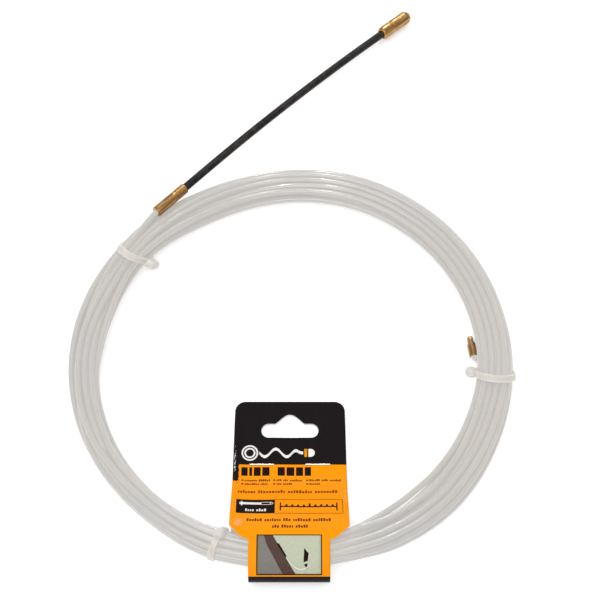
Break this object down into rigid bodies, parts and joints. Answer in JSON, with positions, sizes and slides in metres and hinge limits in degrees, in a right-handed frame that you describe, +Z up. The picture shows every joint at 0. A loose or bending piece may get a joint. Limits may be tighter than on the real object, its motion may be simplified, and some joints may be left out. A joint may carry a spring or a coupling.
{
  "type": "fish tape",
  "caption": "Hand-coiled milky nylon pulling tape held by cable ties, with a brass-tipped sprung leader, an eyelet end and a folded hang card.",
  "frame": {"origin": "bottom centre of the whole object's box, as it lies flat on a table", "axes": "+Z up, across the flat coil; -Y from the ring's middle towards the hang card's fold, so +Y is the way the leader points; +X to the right when seen from the card's side"},
  "size_m": [0.2128, 0.323, 0.0193],
  "materials": {
    "nylon_milky": "milky translucent, smooth extruded nylon",
    "tie_white": "natural moulded nylon, satin",
    "brass_polished": "polished, turned",
    "spring_black": "black-oxide close-wound wire",
    "card_orange_black": "printed orange and black, gloss varnish",
    "staple_steel": "bright galvanised wire"
  },
  "bodies": {
    "coil": {"tape_coil": "nylon_milky", "tape_lead": "nylon_milky", "tape_tail": "nylon_milky", "lead_ferrule": "brass_polished", "leader_spring_1": "spring_black", "tail_eyelet": "brass_polished", "tie_left": "tie_white", "tie_right": "tie_white", "tie_front": "tie_white"},
    "leader_2": {"leader_spring_2": "spring_black"},
    "leader_3": {"leader_spring_3": "spring_black"},
    "leader_4": {"leader_spring_4": "spring_black"},
    "leader_5": {"leader_spring_5": "spring_black"},
    "leader_6": {"leader_spring_6": "spring_black"},
    "leader_7": {"leader_spring_7": "spring_black"},
    "leader_8": {"leader_spring_8": "spring_black"},
    "leader_9": {"leader_spring_9": "spring_black", "leader_tip": "brass_polished"},
    "card": {"hang_card": "card_orange_black", "staple_left": "staple_steel", "staple_right": "staple_steel"}
  },
  "joints": [
    {"name": "leader_sway_1", "type": "hinge", "parent": "coil", "child": "leader_2", "pos_m": [-0.04369, 0.05383, 0.01147], "axis": [0.0453, 0.0507, 0.9977], "range_deg": [-12, 12], "stiffness_Nm_per_rad": 0.02},
    {"name": "leader_lift_1", "type": "hinge", "parent": "leader_2", "child": "leader_3", "pos_m": [-0.03279, 0.06594, 0.01038], "axis": [0.7384, -0.6743, 0], "range_deg": [0, 12], "stiffness_Nm_per_rad": 0.02},
    {"name": "leader_sway_2", "type": "hinge", "parent": "leader_3", "child": "leader_4", "pos_m": [-0.02171, 0.07791, 0.00937], "axis": [0.0407, 0.0433, 0.9982], "range_deg": [-12, 12], "stiffness_Nm_per_rad": 0.02},
    {"name": "leader_lift_2", "type": "hinge", "parent": "leader_4", "child": "leader_5", "pos_m": [-0.01045, 0.08972, 0.00844], "axis": [0.719, -0.695, 0], "range_deg": [0, 12], "stiffness_Nm_per_rad": 0.02},
    {"name": "leader_sway_3", "type": "hinge", "parent": "leader_5", "child": "leader_6", "pos_m": [0.00098, 0.10138, 0.00759], "axis": [0.0349, 0.0351, 0.9988], "range_deg": [-12, 12], "stiffness_Nm_per_rad": 0.02},
    {"name": "leader_lift_3", "type": "hinge", "parent": "leader_6", "child": "leader_7", "pos_m": [0.01257, 0.11287, 0.00682], "axis": [0.6991, -0.715, 0], "range_deg": [0, 12], "stiffness_Nm_per_rad": 0.02},
    {"name": "leader_sway_4", "type": "hinge", "parent": "leader_7", "child": "leader_8", "pos_m": [0.02433, 0.12421, 0.00613], "axis": [0.0287, 0.0273, 0.9992], "range_deg": [-12, 12], "stiffness_Nm_per_rad": 0.02},
    {"name": "leader_lift_4", "type": "hinge", "parent": "leader_8", "child": "leader_9", "pos_m": [0.03624, 0.13537, 0.00553], "axis": [0.6786, -0.7345, 0], "range_deg": [0, 12], "stiffness_Nm_per_rad": 0.02},
    {"name": "card_swing", "type": "hinge", "parent": "coil", "child": "card", "pos_m": [-0.00089, -0.14738, 0.0088], "axis": [1, 0, 0], "range_deg": [0, 180]}
  ],
  "couplings": [
    {"joint": "leader_sway_2", "follows": "leader_sway_1", "ratio": 1},
    {"joint": "leader_lift_2", "follows": "leader_lift_1", "ratio": 1},
    {"joint": "leader_sway_3", "follows": "leader_sway_1", "ratio": 1},
    {"joint": "leader_lift_3", "follows": "leader_lift_1", "ratio": 1},
    {"joint": "leader_sway_4", "follows": "leader_sway_1", "ratio": 1},
    {"joint": "leader_lift_4", "follows": "leader_lift_1", "ratio": 1}
  ]
}
